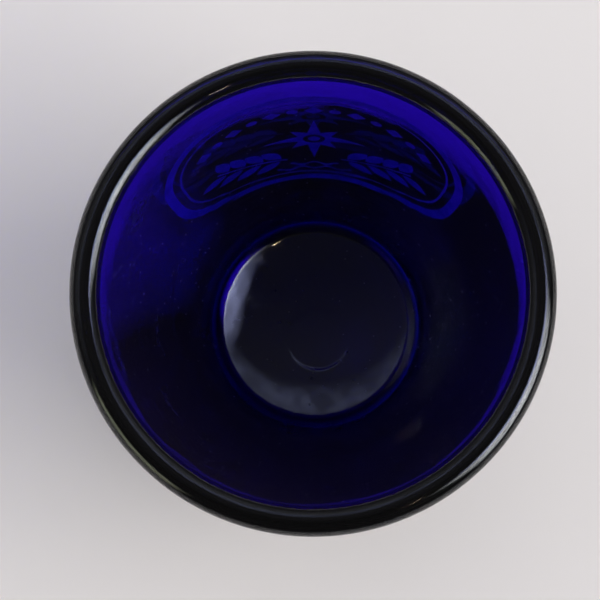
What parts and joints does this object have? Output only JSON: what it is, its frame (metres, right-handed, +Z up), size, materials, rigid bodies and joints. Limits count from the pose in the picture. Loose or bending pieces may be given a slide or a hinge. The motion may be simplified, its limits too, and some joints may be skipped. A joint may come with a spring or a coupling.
{
  "type": "shot glass",
  "caption": "Small tapered pressed-glass tumbler in cobalt blue, with a thick rounded lip, a heavy base and a white enamel badge on its front.",
  "frame": {"origin": "middle of the foot, on the plane that the glass stands on", "axes": "+Z up along the axis of the glass, -Y towards the front, where the badge is, +X to the right seen from the front"},
  "size_m": [0.049, 0.049, 0.06],
  "materials": {
    "cobalt_glass": "clear deep cobalt blue, fire-polished and glossy",
    "white_enamel": "opaque white fired enamel, satin"
  },
  "bodies": {
    "root": {"badge_frame": "white_enamel", "badge_hairline": "white_enamel", "bead_01": "white_enamel", "bead_02": "white_enamel", "bead_03": "white_enamel", "bead_04": "white_enamel", "bead_05": "white_enamel", "bead_06": "white_enamel", "bead_07": "white_enamel", "bead_08": "white_enamel", "bead_09": "white_enamel", "bead_10": "white_enamel", "bead_11": "white_enamel", "bead_12": "white_enamel", "bead_13": "white_enamel", "compass_star": "white_enamel", "glass_body": "cobalt_glass", "leaf_left_lower_1": "white_enamel", "leaf_left_lower_2": "white_enamel", "leaf_left_lower_3": "white_enamel", "leaf_left_lower_4": "white_enamel", "leaf_left_upper_1": "white_enamel", "leaf_left_upper_2": "white_enamel", "leaf_left_upper_3": "white_enamel", "leaf_left_upper_4": "white_enamel", "leaf_right_lower_1": "white_enamel", "leaf_right_lower_2": "white_enamel", "leaf_right_lower_3": "white_enamel", "leaf_right_lower_4": "white_enamel", "leaf_right_upper_1": "white_enamel", "leaf_right_upper_2": "white_enamel", "leaf_right_upper_3": "white_enamel", "leaf_right_upper_4": "white_enamel", "star_hub": "white_enamel", "stem_left": "white_enamel", "stem_right": "white_enamel", "wave_lower": "white_enamel", "wave_upper": "white_enamel"}
  },
  "joints": []
}
